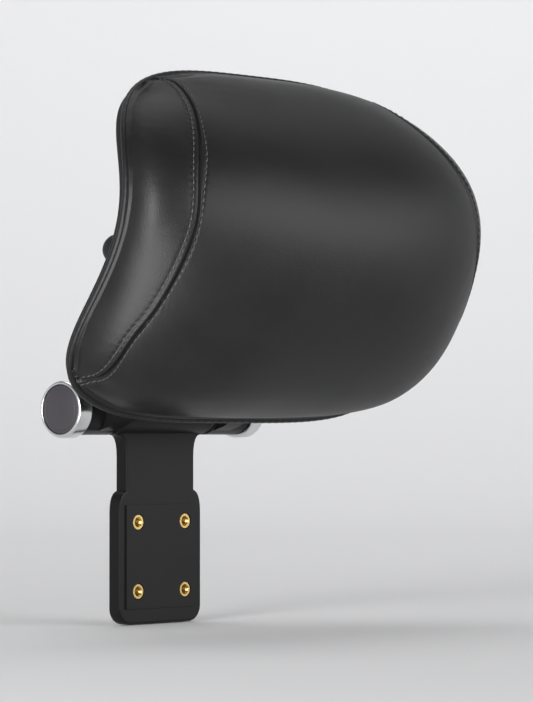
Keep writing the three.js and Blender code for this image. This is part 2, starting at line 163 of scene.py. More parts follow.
# ---- Mesh helpers --------------------------------------------------------------------------------------


def smoothstep(low, high, value):
    share = np.clip((value - low) / (high - low), 0, 1)
    return share * share * (3 - 2 * share)


def new_piece(name, points, faces, material, body, slot, sharp_deg=40):
    """Piece from points in millimetres around the hinge axis, riding on a body."""
    mesh = bpy.data.meshes.new(name)
    mesh.from_pydata(to_row(points).tolist(), [], faces)
    mesh.validate()
    return finish_piece(name, mesh, material, body, sharp_deg)


def finish_piece(name, mesh, material, body, sharp_deg=40):
    fix = bmesh.new()
    fix.from_mesh(mesh)
    bmesh.ops.recalc_face_normals(fix, faces=fix.faces)
    fix.to_mesh(mesh)
    fix.free()
    mesh.shade_smooth()
    mesh.set_sharp_from_angle(angle=math.radians(sharp_deg))
    mesh.materials.clear()
    mesh.materials.append(material)
    piece = bpy.data.objects.new(name, mesh)
    bpy.context.scene.collection.objects.link(piece)
    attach(piece, body)
    return piece


def grid_faces(rows, columns, start=0, close_rows=False, close_columns=False):
    faces = []
    for i in range(rows if close_rows else rows - 1):
        for j in range(columns if close_columns else columns - 1):
            a, b = i * columns, ((i + 1) % rows) * columns
            k = (j + 1) % columns
            faces.append((start + a + j, start + b + j, start + b + k, start + a + k))
    return faces


def tube_faces(rows, columns):
    """Faces of a tube of rings, closed at both ends."""
    ends = [tuple(range(columns)), tuple(reversed(range((rows - 1) * columns, rows * columns)))]
    return grid_faces(rows, columns, 0, False, True) + ends


def normals_of(grid):
    """Unit normals of a grid of points, pointing away from the cushion's inside."""
    down = np.gradient(grid, axis=0)
    across = np.gradient(grid, axis=1)
    normal = np.cross(down, across)
    length = np.linalg.norm(normal, axis=-1, keepdims=True)
    normal = normal / np.maximum(length, TINY)
    facing = np.sum(normal * (grid - FROM_INSIDE), axis=-1)
    return normal * np.where(np.median(facing) < 0, -1, 1)


def sheet_solid(grid, normal, thickness):
    """Closed mesh of a sheet: the grid's surface and the same surface moved in by the thickness."""
    rows, columns = grid.shape[:2]
    count = rows * columns
    points = np.concatenate([grid.reshape(-1, 3), (grid - normal * thickness).reshape(-1, 3)])
    faces = grid_faces(rows, columns)
    faces += [tuple(count + i for i in reversed(face)) for face in faces]
    index = np.arange(count).reshape(rows, columns)
    rim = np.concatenate([index[0, :], index[1:, -1], index[-1, -2::-1], index[-2:0:-1, 0]])
    for here, ahead in zip(rim, np.roll(rim, -1)):
        faces.append((int(here), int(ahead), int(ahead) + count, int(here) + count))
    return points, faces


def lathe(profile, sides, about="x"):
    """Points and faces of a turned piece: the profile is a closed loop of (radius, place on the axis)."""
    profile = np.asarray(profile, float)
    angle = np.linspace(0, 2 * np.pi, sides, endpoint=False)
    radius, along = profile[:, 0][:, None], profile[:, 1][:, None]
    one = radius * np.cos(angle)
    other = radius * np.sin(angle)
    place = along + 0 * angle
    order = {"x": (place, one, other), "z": (one, other, place)}[about]
    return np.stack(order, axis=-1).reshape(-1, 3), grid_faces(len(profile), sides, 0, True, True)


def rounded(profile, radius, steps=4):
    """A closed profile with each corner rounded by the radius, or less where a side is short."""
    profile = [np.array(point, float) for point in profile]
    out = []
    for before, here, after in zip(profile[-1:] + profile[:-1], profile, profile[1:] + profile[:1]):
        back, ahead = before - here, after - here
        reach = min(radius, np.linalg.norm(back) * 0.45, np.linalg.norm(ahead) * 0.45)
        start = here + back / np.linalg.norm(back) * reach
        end = here + ahead / np.linalg.norm(ahead) * reach
        for share in np.linspace(0, 1, steps):
            out.append((1 - share) ** 2 * start + 2 * share * (1 - share) * here + share**2 * end)
    return out


def moved(points, place=(0, 0, 0), lean=0.0):
    """Points drawn around +Z, leant from straight back, and moved to a place."""
    points = np.asarray(points, float)
    turn = lean - SQUARE
    y = points[:, 1] * math.cos(turn) - points[:, 2] * math.sin(turn)
    z = points[:, 1] * math.sin(turn) + points[:, 2] * math.cos(turn)
    return np.stack([points[:, 0], y, z], axis=-1) + np.asarray(place, float)


def joined(*parts):
    """Several (points, faces) as one."""
    points, faces, start = [], [], 0
    for part_points, part_faces in parts:
        points.append(np.asarray(part_points, float))
        faces += [tuple(start + i for i in face) for face in part_faces]
        start += len(part_points)
    return np.concatenate(points), faces


# ---- Materials -----------------------------------------------------------------------------------------


RANGE_SOCKETS = ("From Min", "From Max", "To Min", "To Max")


class Shader:
    """A node material whose Principled shader is filled in by short calls."""

    def __init__(self, name, color, roughness, metallic=0.0, **sockets):
        self.material = bpy.data.materials.new(name)
        self.material.use_nodes = True
        self.tree = self.material.node_tree
        self.main = self.tree.nodes["Principled BSDF"]
        self.color = (*color, 1.0)
        self.set(self.main, "Base Color", self.color)
        self.set(self.main, "Roughness", roughness)
        self.set(self.main, "Metallic", metallic)
        for socket, value in sockets.items():
            self.set(self.main, socket.replace("_", " "), value)
        self.place = self.node("ShaderNodeTexCoord").outputs["Object"]
        self.height = None

    def node(self, kind, **values):
        made = self.tree.nodes.new(kind)
        for key, value in values.items():
            setattr(made, key, value)
        return made

    def set(self, node, socket, value):
        node.inputs[socket].default_value = value

    def link(self, output, node, socket):
        self.tree.links.new(output, node.inputs[socket])

    def noise(self, scale, detail=3.0, rough=0.5, stretch=None):
        made = self.node("ShaderNodeTexNoise")
        self.set(made, "Scale", scale)
        self.set(made, "Detail", detail)
        self.set(made, "Roughness", rough)
        self.link(self.stretched(stretch), made, "Vector")
        return made.outputs["Fac"]

    def cells(self, scale, feature="DISTANCE_TO_EDGE"):
        made = self.node("ShaderNodeTexVoronoi", feature=feature)
        self.set(made, "Scale", scale)
        self.link(self.place, made, "Vector")
        return made.outputs["Distance"]

    def stretched(self, stretch):
        if stretch is None:
            return self.place
        made = self.node("ShaderNodeMapping")
        self.set(made, "Scale", stretch)
        self.link(self.place, made, "Vector")
        return made.outputs["Vector"]

    def ranged(self, value, low, high, to_low, to_high):
        made = self.node("ShaderNodeMapRange", clamp=True)
        self.link(value, made, "Value")
        for socket, number in zip(RANGE_SOCKETS, (low, high, to_low, to_high)):
            self.set(made, socket, number)
        return made.outputs["Result"]

    def math(self, operation, one, other):
        made = self.node("ShaderNodeMath", operation=operation)
        for index, value in enumerate((one, other)):
            if isinstance(value, (int, float)):
                made.inputs[index].default_value = value
            else:
                self.tree.links.new(value, made.inputs[index])
        return made.outputs["Value"]

    def tint(self, value, dark, light):
        """Base colour that runs from dark to light as the value runs from 0 to 1."""
        made = self.node("ShaderNodeMix", data_type="RGBA")
        self.link(value, made, "Factor")
        made.inputs["A"].default_value = (*dark, 1.0)
        made.inputs["B"].default_value = (*light, 1.0)
        self.tree.links.new(made.outputs["Result"], self.main.inputs["Base Color"])

    def vary_roughness(self, value, low, high):
        self.link(self.ranged(value, 0.25, 0.75, low, high), self.main, "Roughness")

    def bump(self, value, depth_mm, strength=1.0):
        made = self.node("ShaderNodeBump")
        self.set(made, "Strength", strength)
        self.set(made, "Distance", depth_mm * MM)
        self.link(value, made, "Height")
        if self.height is not None:
            self.link(self.height, made, "Normal")
        self.height = made.outputs["Normal"]
        self.link(self.height, self.main, "Normal")


def mixed(color, change):
    """The colour made darker or lighter by a factor."""
    return tuple(channel * change for channel in color)


def leather(name, color, rough=0.4):
    """Synthetic leather: fine pebbled grain with creases between the pebbles, and a soft uneven gloss."""
    shader = Shader(name, color, rough, Specular_IOR_Level=0.22)
    pebbles = shader.cells(820)
    raised = shader.ranged(pebbles, 0.0, 0.35, 0.0, 1.0)
    fine = shader.noise(2600, 2.0)
    cloud = shader.noise(26, 4.0, 0.6)
    shader.tint(shader.ranged(cloud, 0.3, 0.7, 0.0, 1.0), mixed(color, 0.82), mixed(color, 1.22))
    gloss = shader.math("ADD", shader.math("MULTIPLY", raised, -0.05), shader.math("MULTIPLY", cloud, 0.12))
    shader.link(shader.math("ADD", gloss, rough), shader.main, "Roughness")
    shader.bump(cloud, 0.35, 0.25)
    shader.bump(shader.math("ADD", raised, shader.math("MULTIPLY", fine, 0.4)), 0.07, 0.55)
    return shader.material


def moulded(name, color, rough, grain_scale=1400, grain_mm=0.03, wear=0.2, specular=0.26):
    """Moulded plastic: spark-eroded grain and faint flow marks in the gloss."""
    shader = Shader(name, color, rough, Specular_IOR_Level=specular)
    grain = shader.noise(grain_scale, 3.0, 0.6)
    flow = shader.noise(14, 3.0, 0.5, (1.0, 1.0, 0.35))
    dark, light = mixed(color, 1 - wear), mixed(color, 1 + wear)
    shader.tint(shader.ranged(flow, 0.35, 0.65, 0.0, 1.0), dark, light)
    shader.vary_roughness(flow, rough - 0.04, rough + 0.06)
    shader.bump(grain, grain_mm, 0.6)
    return shader.material


def metal(name, color, rough, stretch=(40.0, 1.0, 1.0), lines_mm=0.006, stain=0.1):
    """Turned or drawn metal: fine lines one way, and a little cloudiness in colour and gloss."""
    shader = Shader(name, color, rough, 1.0)
    lines = shader.noise(420, 4.0, 0.7, stretch)
    cloud = shader.noise(60, 4.0, 0.6)
    dark, light = mixed(color, 1 - stain), mixed(color, 1 + stain / 2)
    shader.tint(shader.ranged(cloud, 0.3, 0.7, 0.0, 1.0), dark, light)
    shader.vary_roughness(lines, rough * 0.75, rough * 1.3)
    shader.bump(lines, lines_mm, 0.5)
    return shader.material


def plywood(name):
    """Bent plywood: long grain on the faces, and plies that show as bands through its thickness."""
    shader = Shader(name, (0.5, 0.34, 0.18), 0.6)
    grain = shader.noise(40, 5.0, 0.6, (1.0, 6.0, 14.0))
    pores = shader.noise(500, 3.0, 0.5, (0.12, 1.0, 1.0))
    shader.tint(shader.ranged(grain, 0.3, 0.7, 0.0, 1.0), (0.36, 0.22, 0.11), (0.6, 0.43, 0.25))
    shader.vary_roughness(grain, 0.5, 0.72)
    shader.bump(pores, 0.12, 0.5)
    return shader.material


def foam(name):
    """Open-cell polyurethane foam."""
    shader = Shader(name, (0.68, 0.6, 0.4), 0.95, Subsurface_Weight=0.1)
    shader.main.inputs["Subsurface Radius"].default_value = (0.004, 0.003, 0.002)
    pores = shader.cells(900, "F1")
    cloud = shader.noise(30, 3.0)
    shader.tint(shader.ranged(cloud, 0.3, 0.7, 0.0, 1.0), (0.58, 0.49, 0.3), (0.74, 0.67, 0.48))
    shader.bump(pores, 0.4, 0.8)
    return shader.material


def fibre(name, color, rough=0.85):
    """Pressed fibre or thread: short hairs along one way."""
    shader = Shader(name, color, rough)
    hairs = shader.noise(1500, 4.0, 0.7, (0.3, 1.0, 1.0))
    shader.tint(shader.ranged(hairs, 0.3, 0.7, 0.0, 1.0), mixed(color, 0.7), mixed(color, 1.35))
    shader.bump(hairs, 0.05, 0.7)
    return shader.material


LEATHER_MAT = leather("black_leather", (0.0075, 0.0075, 0.0078), 0.36)
WELT_MAT = leather("welt_leather", (0.009, 0.009, 0.0094), 0.36)
THREAD_MAT = fibre("thread", (0.026, 0.026, 0.027), 0.6)
SHELL_MAT = moulded("shell_plastic", (0.0085, 0.0085, 0.009), 0.46, 1100, 0.05)
# The bracket and lug plastic is painted darker than the shell's, and the disc's dark mauve-grey darker too:
# painted shade for the shadow the chair casts on the neck
SHADED_BRACKET_MAT = moulded("bracket_plastic", (0.0072, 0.0072, 0.0075), 0.36, 1800, 0.02, specular=0.15)
SHADED_DISC_MAT = moulded("disc_plastic", (0.048, 0.044, 0.05), 0.42, 2200, 0.015, specular=0.2)
NYLON_MAT = moulded("nylon", (0.72, 0.7, 0.62), 0.45, 900, 0.02, 0.06)
SILVER_MAT = metal("bright_silver", (0.82, 0.83, 0.84), 0.2)
STEEL_MAT = metal("zinc_steel", (0.52, 0.53, 0.55), 0.34)
BLACK_STEEL_MAT = metal("black_zinc", (0.06, 0.06, 0.062), 0.4)
BRASS_MAT = metal("brass", (0.6, 0.43, 0.17), 0.32)
PLY_MAT = plywood("plywood")
FOAM_MAT = foam("foam")
FIBRE_MAT = fibre("friction_fibre", (0.055, 0.04, 0.032))

# ---- Covers: a grid for each panel ---------------------------------------------------------------------

STATIONS = 430  # along a seam
FACE_COLUMNS = 104  # across the middle of the face panel
NEAR_SEAM_MM = 8
NEAR_SEAM_STEP_MM = 0.55
GUSSET_COLUMNS = 46
GUSSET_CROWDING = 1.35  # above 1, the gusset's columns crowd towards the seam
FACE_WIDTH_MM = 250
ARC_POINTS = 400
WRAP_POINTS, WRAP_TO = 20, 1.02  # the part of the seam that goes round the edge
WIDEST = 0.999
SEAM_SMOOTHING = 60


def from_disc(disc, inset=0):
    """Cushion points from flat places: the front's middle at (0, 0), the widest line at radius 1."""
    away = np.hypot(disc[..., 0], disc[..., 1])
    return cushion(np.arctan2(disc[..., 1], disc[..., 0]), (1 - away) * SQUARE, inset)


def on_disc(around, away):
    return np.stack([away * np.cos(around), away * np.sin(around)], axis=-1)


def catmull(points, steps):
    """Smooth curve through points, with the given number of steps in each span."""
    points = np.asarray(points, float)
    padded = np.vstack([2 * points[0] - points[1], points, 2 * points[-1] - points[-2]])
    share = np.linspace(0, 1, steps, endpoint=False)[:, None]
    out = []
    for a, b, c, d in zip(padded, padded[1:], padded[2:], padded[3:]):
        cubic = (-a + 3 * b - 3 * c + d) * share**3 + (2 * a - 5 * b + 4 * c - d) * share**2
        out.append(0.5 * (cubic + (c - a) * share + 2 * b))
    return np.vstack([*out, points[-1:]])


def along_line(points):
    """Distance along a line of points."""
    steps = np.linalg.norm(np.diff(points, axis=0), axis=-1)
    return np.concatenate([[0], np.cumsum(steps)])


def evenly(disc, count):
    """The same line on the disc with its points evenly spaced on the cushion."""
    length = along_line(from_disc(disc))
    wanted = np.linspace(0, length[-1], count)
    return np.stack([np.interp(wanted, length, disc[:, axis]) for axis in (0, 1)], axis=-1)


def seam_on_disc():
    """The left seam from the top rear edge, down the front, to the bottom rear edge."""
    x, z = catmull(SEAM, 40).T
    around = np.arctan2(z - MIDDLE_Z, x)
    reach = np.hypot(x, z - MIDDLE_Z) / outline_radius(around)
    inside = reach < WIDEST
    around, reach = around[inside], reach[inside]
    through = np.arctan((reach**-FRONT_ROUND - 1) ** (1 / FRONT_ROUND))
    wrap = np.linspace(REAR, WRAP_TO, WRAP_POINTS)
    line = np.vstack([
        on_disc(np.full(WRAP_POINTS, around[0]), wrap),
        on_disc(around, 1 - through / SQUARE),
        on_disc(np.full(WRAP_POINTS, around[-1]), wrap[::-1]),
    ])
    line = evenly(line, STATIONS)
    for _ in range(SEAM_SMOOTHING):
        line[1:-1] = (line[:-2] + 2 * line[1:-1] + line[2:]) / 4
    return evenly(line, STATIONS)


SEAM_DISC = seam_on_disc()
TOP_ANGLE = math.atan2(SEAM_DISC[0, 1], SEAM_DISC[0, 0])
BOTTOM_ANGLE = math.atan2(SEAM_DISC[-1, 1], SEAM_DISC[-1, 0])


def rear_arc(start, end, count):
    """Evenly spaced places on the covers' rear edge between two angles."""
    return evenly(on_disc(np.linspace(start, end, ARC_POINTS), np.full(ARC_POINTS, REAR)), count)


def face_disc():
    """Grid of the face panel: rows run from the right seam to the left one, from the top down."""
    near = np.arange(0, NEAR_SEAM_MM, NEAR_SEAM_STEP_MM) / FACE_WIDTH_MM
    middle = np.linspace(near[-1], 1 - near[-1], FACE_COLUMNS)[1:-1]
    across = np.concatenate([near, middle, 1 - near[::-1]])
    down = np.linspace(0, 1, STATIONS)
    left = SEAM_DISC
    right = left * (-1, 1)
    share = np.linspace(0, 1, ARC_POINTS)
    arcs = (
        rear_arc(math.pi - TOP_ANGLE, TOP_ANGLE, ARC_POINTS),
        rear_arc(-math.pi - BOTTOM_ANGLE, BOTTOM_ANGLE, ARC_POINTS),
    )
    top, bottom = [np.stack([np.interp(across, share, arc[:, k]) for k in (0, 1)], -1) for arc in arcs]
    s, t = down[:, None, None], across[None, :, None]
    sides = (1 - t) * right[:, None] + t * left[:, None]
    ends = (1 - s) * top[None] + s * bottom[None]
    corners = (1 - s) * ((1 - t) * right[0] + t * left[0]) + s * ((1 - t) * right[-1] + t * left[-1])
    return sides + ends - corners


def gusset_disc():
    """Grid of the left gusset: rows run from the seam to the rear edge."""
    rear = rear_arc(TOP_ANGLE, BOTTOM_ANGLE, STATIONS)
    across = (np.linspace(0, 1, GUSSET_COLUMNS) ** GUSSET_CROWDING)[None, :, None]
    return (1 - across) * SEAM_DISC[:, None] + across * rear[:, None]


# ---- Covers: cloth simulation --------------------------------------------------------------------------

SLACK_MM = 2.6  # how far the covers lie inside the cushion's form before they are blown up
EDGE_SLACK_MM = 0.4
SLACK_SPAN = 0.55  # angle over which the slack grows from the welt
CLOTH_AROUND, CLOTH_THROUGH, CLOTH_REACH = 180, 70, 0.995
QUICK_SWELL, QUICK_SWELL_MM = 0.6, 14  # shape of the swelling when the simulation is skipped
CAP_MM = 7.0
REAR_HOLD_MM = 18  # the covers are drawn in over this width beside the welt
PRESSURE = 4.0
VOXEL_MM = 5.0
PIN_MM = 4.5
PIN_BEHIND_MM = (-5.5, -3.5)
PIN_LEAST = 0.01
BLOCK = 2000  # points tested against the seam at a time
LAST_FRAME = 20
SOFTENING = 12
LOWEST_MM = -0.4


def slack_at(through):
    """The covers start a little inside the form, and close to it where they meet the welt."""
    share = smoothstep(PIPING_AT, PIPING_AT + SLACK_SPAN, through)
    return EDGE_SLACK_MM + (SLACK_MM - EDGE_SLACK_MM) * share


def slack_points(disc):
    away = np.hypot(disc[..., 0], disc[..., 1])
    return from_disc(disc, slack_at((1 - away) * SQUARE))


def simulate_cushion():
    """The cushion's body blown up by pressure, held along its seams and at its back. Points, triangles."""
    around = np.linspace(0, 2 * np.pi, CLOTH_AROUND, endpoint=False)
    through = np.linspace(-SQUARE * CLOTH_REACH, SQUARE * CLOTH_REACH, CLOTH_THROUGH)
    grid = cushion(around[None, :], through[:, None], slack_at(through)[:, None])
    faces = grid_faces(len(through), len(around), 0, False, True)
    count = len(around)
    faces += [tuple(range(count)), tuple(range((len(through) - 1) * count, len(through) * count))]
    mesh = bpy.data.meshes.new("cushion_cloth")
    mesh.from_pydata((grid.reshape(-1, 3) * MM).tolist(), [], faces)
    cloth = bpy.data.objects.new("cushion_cloth", mesh)
    bpy.context.scene.collection.objects.link(cloth)
    remesh = cloth.modifiers.new("remesh", "REMESH")
    remesh.mode = "VOXEL"
    remesh.voxel_size = VOXEL_MM * MM
    remesh.use_smooth_shade = True
    bpy.context.view_layer.update()
    graph = bpy.context.evaluated_depsgraph_get()
    remeshed = bpy.data.meshes.new_from_object(cloth.evaluated_get(graph))
    cloth.modifiers.clear()
    cloth.data = remeshed

    rest = np.array([v.co for v in remeshed.vertices]) / MM
    held = pinned_weights(rest)
    group = cloth.vertex_groups.new(name="held")
    for index in np.nonzero(held > PIN_LEAST)[0]:
        group.add([int(index)], float(held[index]), "REPLACE")
    modifier = cloth.modifiers.new("cloth", "CLOTH")
    settings = modifier.settings
    settings.quality = 6
    settings.mass = 0.35
    settings.tension_stiffness = 12
    settings.compression_stiffness = 12
    settings.shear_stiffness = 6
    settings.bending_stiffness = 0.6
    settings.use_pressure = True
    settings.uniform_pressure_force = PRESSURE
    settings.vertex_group_mass = "held"
    settings.effector_weights.gravity = 0
    modifier.point_cache.frame_start = 1
    modifier.point_cache.frame_end = LAST_FRAME
    scene = bpy.context.scene
    for number in range(1, LAST_FRAME + 1):
        scene.frame_set(number)
    graph = bpy.context.evaluated_depsgraph_get()
    blown = bpy.data.meshes.new_from_object(cloth.evaluated_get(graph))
    points = np.array([v.co for v in blown.vertices]) / MM
    shift = points - rest
    length = np.linalg.norm(shift, axis=1, keepdims=True)
    points = rest + shift * np.minimum(1, CAP_MM / np.maximum(length, TINY))
    polygons = [tuple(p.vertices) for p in blown.polygons]
    bpy.data.objects.remove(cloth)
    scene.frame_set(1)
    return points, polygons


def pinned_weights(points):
    """1 where the leather is held: near the seams, and on the cushion's back."""
    line = slack_points(SEAM_DISC[::3])
    held = np.zeros(len(points))
    for sign in (1, -1):
        seam = line * (sign, 1, 1)
        for start in range(0, len(points), BLOCK):
            block = slice(start, start + BLOCK)
            gap = np.linalg.norm(points[block][:, None] - seam[None], axis=-1).min(axis=1)
            held[block] = np.maximum(held[block], 1 - smoothstep(PIN_MM, PIN_MM * 2, gap))
    behind = points[:, 1] - back_face(points[:, 2])
    return np.maximum(held, smoothstep(*PIN_BEHIND_MM, behind))


def softened(field, passes):
    """A grid of numbers with its small bumps smoothed out."""
    for _ in range(passes):
        wide = np.pad(field, 1, mode="edge")
        field = (wide[:-2, 1:-1] + wide[2:, 1:-1] + wide[1:-1, :-2] + wide[1:-1, 2:] + 4 * field) / 8
    return field


def swell(grid, normal, tree, from_seam, from_rear):
    """How far each point of a panel stands off its slack place, along its normal."""
    if tree is None:
        from_edge = np.minimum(from_seam, from_rear)
        return CAP_MM * QUICK_SWELL * (1 - np.exp(-from_edge / QUICK_SWELL_MM))
    height = np.zeros(grid.shape[:2])
    for place in np.ndindex(height.shape):
        nearest = np.array(tree.find_nearest(Vector(grid[place]))[0])
        height[place] = np.dot(nearest - grid[place], normal[place])
    held = smoothstep(0, REAR_HOLD_MM, from_rear)
    return softened(np.clip(height, LOWEST_MM, CAP_MM) * held, SOFTENING)


# ---- Covers: seams, stitches and puckers ---------------------------------------------------------------

SEAM_DEPTH_MM, SEAM_WIDTH_MM = 1.3, 0.9
ROLL_MM, ROLL_AT_MM, ROLL_WIDTH_MM = 0.3, 2.1, 1.0
STITCH_LINE_MM, STITCH_PULL_MM, STITCH_LINE_WIDTH_MM = 0.3, 0.28, 0.75
RIPPLE_MM, RIPPLE_REACH_MM = 0.1, 2.2
EDGE_DROP_MM, EDGE_REACH_MM = 0.55, 2.0
GATHER_MM, GATHER_PITCH_MM, GATHER_REACH_MM = 0.16, 9.0, 6.0
GATHER_WANDER, GATHER_DRIFT_MM, GATHER_FADE_MM = 1.7, 17.0, 31.0  # their spacing and height wander
FLOOR_MM, FLOOR_SLOPE = -0.6, 0.4  # the leather sinks no lower than this beside the welt
SEAM_BLEND_MM = 6
STITCH_OUT_MM = 4.0
STITCH_PITCH_MM = 4.0
STITCH_LENGTH_MM = 3.1
STITCH_END_MM = 5.0
STITCH_ROOM = 1.6  # a row runs where its panel is this many times wider than the row's distance
THREAD_R_MM = 0.42
THREAD_RISE, THREAD_ARCH, THREAD_TAPER = 0.85, 5.72, 0.55
THREAD_POINTS = 7
SEAM_END_MM = 7.0  # seams and puckers fade out over this width beside the welt
PUCKER_MM = 1.9
PUCKER_REACH_MM = 13
PUCKERS = 5  # creases in a full turn
COVER_SHARP_DEG = 75


def distance_across(grid, from_end=False):
    """Distance of each grid point from the first column, or from the last, along its row."""
    steps = np.linalg.norm(np.diff(grid, axis=1), axis=-1)
    total = np.concatenate([np.zeros((len(grid), 1)), np.cumsum(steps, axis=1)], axis=1)
    return total[:, -1:] - total if from_end else total


def distance_down(grid, from_end=False):
    return distance_across(grid.swapaxes(0, 1), from_end).swapaxes(0, 1)


def seam_profile(gap, along):
    """Height of the leather beside a seam: the fold, a rolled edge, and the dented line of stitches."""
    fold = -SEAM_DEPTH_MM * np.exp(-((gap / SEAM_WIDTH_MM) ** 2))
    roll = ROLL_MM * np.exp(-(((gap - ROLL_AT_MM) / ROLL_WIDTH_MM) ** 2))
    pulled = 0.5 + 0.5 * np.cos(2 * np.pi * along / STITCH_PITCH_MM)
    dent = np.exp(-(((gap - STITCH_OUT_MM) / STITCH_LINE_WIDTH_MM) ** 2))
    line = -(STITCH_LINE_MM + STITCH_PULL_MM * pulled) * dent
    ripple = -RIPPLE_MM * pulled * np.exp(-np.abs(gap - STITCH_OUT_MM) / RIPPLE_REACH_MM)
    return fold + roll + line + ripple


def edge_profile(gap, along):
    """Height of the leather beside the welt: drawn in, with small gathers."""
    drift = GATHER_WANDER * np.sin(along / GATHER_DRIFT_MM)
    wave = np.sin(2 * np.pi * along / GATHER_PITCH_MM + drift)
    wave = wave * (0.6 + 0.4 * np.sin(along / GATHER_FADE_MM))
    gathers = GATHER_MM * wave * np.exp(-gap / GATHER_REACH_MM)
    return -EDGE_DROP_MM * np.exp(-gap / EDGE_REACH_MM) + gathers


def corner_pucker(grid, corner, phase):
    """Creases that run out from the corner where a seam meets the welt."""
    offset = grid - corner
    away = np.linalg.norm(offset, axis=-1)
    angle = np.arctan2(offset[..., 2], offset[..., 1])
    crease = 0.5 + 0.5 * np.cos(PUCKERS * angle + phase)
    ring = (away / PUCKER_REACH_MM) * np.exp(1 - away / PUCKER_REACH_MM)
    return -PUCKER_MM * crease**2 * ring * np.exp(-((away / (2 * PUCKER_REACH_MM)) ** 2))


def stitch_row(grid, normal, gap, side_mm):
    """Stitches along the line that lies side_mm from the seam, as one mesh of small arched threads."""
    def on_line(field):
        rows = zip(gap, field)
        return np.array([[np.interp(side_mm, out, row[:, k]) for k in range(3)] for out, row in rows])

    place, up = on_line(grid), on_line(normal)
    length = along_line(place)
    inside = np.nonzero(gap[:, -1] > side_mm * STITCH_ROOM)[0]
    start, end = length[inside[0]] + STITCH_END_MM, length[inside[-1]] - STITCH_END_MM
    parts = []
    for middle in np.arange(start, end, STITCH_PITCH_MM):
        share = np.linspace(-0.5, 0.5, THREAD_POINTS)
        at = middle + share * STITCH_LENGTH_MM
        spine = np.stack([np.interp(at, length, place[:, k]) for k in range(3)], -1)
        rise = np.stack([np.interp(at, length, up[:, k]) for k in range(3)], -1)
        spine = spine + rise * (THREAD_R_MM * (THREAD_RISE - THREAD_ARCH * share**2))[:, None]
        parts.append(thread(spine, rise, THREAD_R_MM * np.sqrt(1.02 - (2 * share) ** 2 * THREAD_TAPER)))
    return joined(*parts)


def thread(spine, rise, radius, sides=8):
    """A short closed tube along a spine."""
    ahead = np.gradient(spine, axis=0)
    ahead /= np.linalg.norm(ahead, axis=1, keepdims=True)
    across = np.cross(ahead, rise)
    across /= np.linalg.norm(across, axis=1, keepdims=True)
    above = np.cross(across, ahead)
    angle = np.linspace(0, 2 * np.pi, sides, endpoint=False)
    ring = np.cos(angle)[None, :, None] * across[:, None] + np.sin(angle)[None, :, None] * above[:, None]
    points = spine[:, None] + ring * radius[:, None, None]
    return points.reshape(-1, 3), tube_faces(len(spine), sides)


def leather_piece(name, sheet):
    """A panel of the cover, in place of its CAD node."""
    piece = new_piece(name, *sheet, LEATHER_MAT, HEADREST, "leather", COVER_SHARP_DEG)
    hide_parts(f"cover_{name}")


def make_covers():
    """Face panel, two gussets and the stitching beside their seams."""
    tree = None
    points, polygons = simulate_cushion()
    tree = BVHTree.FromPolygons([Vector(p) for p in points], polygons)

    face = slack_points(face_disc())
    face_normal = normals_of(face)
    from_left = distance_across(face, True)
    from_right = distance_across(face)
    from_top = np.minimum(distance_down(face), distance_down(face, True))
    height = swell(face, face_normal, tree, np.minimum(from_left, from_right), from_top)
    down = distance_down(face)
    seams = seam_profile(from_left, down[:, -1:]) + seam_profile(from_right, down[:, :1])
    height = height + seams * smoothstep(1, SEAM_END_MM, from_top)
    height = np.maximum(height + edge_profile(from_top, from_right), FLOOR_MM - FLOOR_SLOPE * from_top)

    gusset = slack_points(gusset_disc())
    gusset_normal = normals_of(gusset)
    from_seam = distance_across(gusset)
    from_rear = distance_across(gusset, True)
    along = distance_down(gusset)
    lift = swell(gusset, gusset_normal, tree, from_seam, from_rear)
    lift = lift + seam_profile(from_seam, along[:, :1]) * smoothstep(1, SEAM_END_MM, from_rear)
    lift = np.maximum(lift + edge_profile(from_rear, along[:, -1:]), FLOOR_MM - FLOOR_SLOPE * from_rear)

    corners = [(gusset[0, 0], 0.4), (gusset[-1, 0], 1.9)]
    for corner, phase in corners:
        lift = lift + corner_pucker(gusset, corner, phase) * smoothstep(1, SEAM_END_MM, from_rear)
        for sign in (1, -1):
            creases = corner_pucker(face, corner * (sign, 1, 1), phase)
            height = height + creases * smoothstep(1, SEAM_END_MM, from_top)

    # The seam's two edges are the same line: both take the mean height there.
    shared = (height[:, -1] + lift[:, 0]) / 2
    fade_face = np.exp(-from_left / SEAM_BLEND_MM) * (shared - height[:, -1])[:, None]
    fade_face = fade_face + np.exp(-from_right / SEAM_BLEND_MM) * (shared - height[:, 0])[:, None]
    face = face + face_normal * (height + fade_face)[..., None]
    lift = lift + np.exp(-from_seam / SEAM_BLEND_MM) * (shared - lift[:, 0])[:, None]
    gusset = gusset + gusset_normal * lift[..., None]

    face_normal = normals_of(face)
    leather_piece("face_panel", sheet_solid(face, face_normal, LEATHER))
    gusset_normal = normals_of(gusset)
    for side, sign in SIDES:
        flip = (sign, 1, 1)
        leather_piece(f"gusset_{side}", sheet_solid(gusset * flip, gusset_normal * flip, LEATHER))
        face_side, face_gap = (face[:, ::-1], from_left[:, ::-1]) if sign > 0 else (face, from_right)
        side_normal = face_normal[:, ::-1] if sign > 0 else face_normal
        rows = [
            stitch_row(gusset * flip, gusset_normal * flip, from_seam, STITCH_OUT_MM),
            stitch_row(face_side, side_normal, face_gap, STITCH_OUT_MM),
        ]
        new_piece(f"stitching_{side}", *joined(*rows), THREAD_MAT, HEADREST, "leather", 60)


WELT_POINTS, WELT_SIDES = 720, 16
WELT_GATHER, WELT_PITCH_MM, WELT_WANDER, WELT_DRIFT_MM = 0.035, 6.1, 1.3, 23


